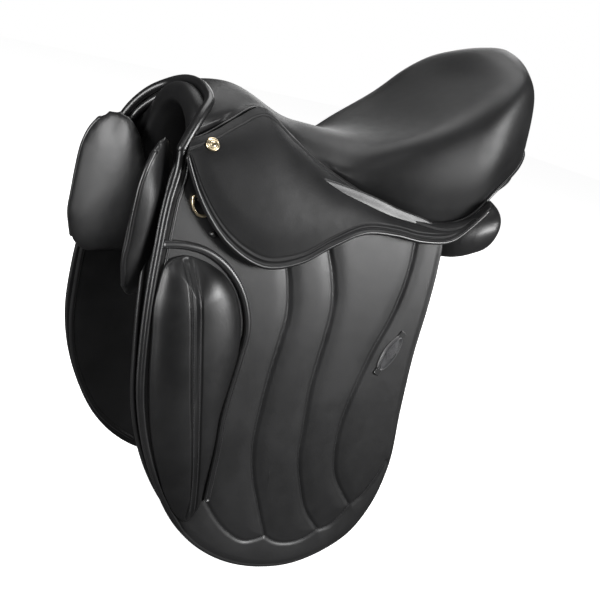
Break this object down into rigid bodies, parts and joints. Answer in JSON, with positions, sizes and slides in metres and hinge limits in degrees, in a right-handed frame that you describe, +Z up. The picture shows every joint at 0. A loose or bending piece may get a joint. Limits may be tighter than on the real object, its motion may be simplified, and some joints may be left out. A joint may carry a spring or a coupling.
{
  "type": "english saddle",
  "caption": "Black leather dressage riding saddle: padded seat on a sprung tree, long quilted flaps with outside knee blocks, lifting skirts, stirrup bars and stuffed panels.",
  "frame": {"origin": "mid-plane of the saddle, under the middle of its length, level with the lowest edge of the flaps", "axes": "+X towards the near (left) side, -Y towards the pommel and the horse's head, +Y towards the cantle, +Z up"},
  "size_m": [0.2954, 0.538, 0.6346],
  "materials": {
    "black_leather": "fine-grained calf leather, semi-gloss",
    "brass": "polished",
    "black_enamel": "glossy black cap",
    "beech": "laminated beech, satin",
    "webbing": "woven tape",
    "foam": "dense seat foam",
    "steel": "forged, satin"
  },
  "bodies": {
    "root": {"bar_rivets": "steel", "billet_webs": "black_leather", "cantle_facing": "black_leather", "catch_pins": "steel", "channel_lining": "black_leather", "cross_web": "webbing", "gullet_plate": "steel", "head_plate": "steel", "head_rivets": "steel", "near_buckle_guard": "black_leather", "near_flap_root": "black_leather", "near_panel": "black_leather", "near_skirt_root": "black_leather", "near_stirrup_bar": "steel", "near_sweat_flap": "black_leather", "near_tree_rail": "beech", "off_buckle_guard": "black_leather", "off_flap_root": "black_leather", "off_panel": "black_leather", "off_skirt_root": "black_leather", "off_stirrup_bar": "steel", "off_sweat_flap": "black_leather", "off_tree_rail": "beech", "pommel_facing": "black_leather", "pommel_rim": "black_leather", "pommel_studs": "brass", "seat_cover": "black_leather", "seat_foam": "foam", "seat_webs": "webbing", "seat_welt": "black_leather", "tree_cantle": "beech", "tree_head": "beech", "tree_springs": "steel"},
    "near_bar_catch": {"near_bar_catch": "steel"},
    "near_flap": {"near_dee_chape": "black_leather", "near_flap": "black_leather", "near_flap_badge": "black_leather", "near_flap_edge_roll": "black_leather", "near_flap_stud": "black_enamel", "near_knee_block": "black_leather", "near_knee_block_band": "black_leather"},
    "near_dee_ring": {"near_dee_ring": "brass"},
    "near_front_billet": {"near_front_billet": "black_leather"},
    "near_rear_billet": {"near_rear_billet": "black_leather"},
    "near_skirt": {"near_skirt": "black_leather", "near_skirt_piping": "black_leather"},
    "off_bar_catch": {"off_bar_catch": "steel"},
    "off_flap": {"off_dee_chape": "black_leather", "off_flap": "black_leather", "off_flap_badge": "black_leather", "off_flap_edge_roll": "black_leather", "off_flap_stud": "black_enamel", "off_knee_block": "black_leather", "off_knee_block_band": "black_leather"},
    "off_dee_ring": {"off_dee_ring": "brass"},
    "off_front_billet": {"off_front_billet": "black_leather"},
    "off_rear_billet": {"off_rear_billet": "black_leather"},
    "off_skirt": {"off_skirt": "black_leather", "off_skirt_piping": "black_leather"}
  },
  "joints": [
    {"name": "near_flap_lift", "type": "hinge", "parent": "root", "child": "near_flap", "pos_m": [0.09436, -0.086, 0.42348], "axis": [-0.1214, -0.9855, 0.1181], "range_deg": [0, 45]},
    {"name": "near_skirt_lift", "type": "hinge", "parent": "near_flap", "child": "near_skirt", "pos_m": [0.10386, -0.086, 0.42348], "axis": [-0.1214, -0.9855, 0.1181], "range_deg": [0, 40]},
    {"name": "near_bar_catch_flip", "type": "hinge", "parent": "root", "child": "near_bar_catch", "pos_m": [0.079, -0.128, 0.44898], "axis": [1, 0, 0], "range_deg": [0, 40]},
    {"name": "near_front_billet_swing", "type": "hinge", "parent": "root", "child": "near_front_billet", "pos_m": [0.08625, -0.092, 0.39698], "axis": [1, 0, 0], "range_deg": [-4, 4]},
    {"name": "near_rear_billet_swing", "type": "hinge", "parent": "root", "child": "near_rear_billet", "pos_m": [0.0944, -0.006, 0.39698], "axis": [1, 0, 0], "range_deg": [-4, 4]},
    {"name": "near_dee_swing", "type": "hinge", "parent": "near_flap", "child": "near_dee_ring", "pos_m": [0.08601, -0.20412, 0.42174], "axis": [0.9754, -0.0977, 0.1974], "range_deg": [-12, 12]},
    {"name": "off_flap_lift", "type": "hinge", "parent": "root", "child": "off_flap", "pos_m": [-0.09436, -0.086, 0.42348], "axis": [-0.1214, 0.9855, -0.1181], "range_deg": [0, 45]},
    {"name": "off_skirt_lift", "type": "hinge", "parent": "off_flap", "child": "off_skirt", "pos_m": [-0.10386, -0.086, 0.42348], "axis": [-0.1214, 0.9855, -0.1181], "range_deg": [0, 40]},
    {"name": "off_bar_catch_flip", "type": "hinge", "parent": "root", "child": "off_bar_catch", "pos_m": [-0.079, -0.128, 0.44898], "axis": [1, 0, 0], "range_deg": [0, 40]},
    {"name": "off_front_billet_swing", "type": "hinge", "parent": "root", "child": "off_front_billet", "pos_m": [-0.08625, -0.092, 0.39698], "axis": [1, 0, 0], "range_deg": [-4, 4]},
    {"name": "off_rear_billet_swing", "type": "hinge", "parent": "root", "child": "off_rear_billet", "pos_m": [-0.0944, -0.006, 0.39698], "axis": [1, 0, 0], "range_deg": [-4, 4]},
    {"name": "off_dee_swing", "type": "hinge", "parent": "off_flap", "child": "off_dee_ring", "pos_m": [-0.08601, -0.20412, 0.42174], "axis": [0.9754, 0.0977, -0.1974], "range_deg": [-12, 12]}
  ]
}
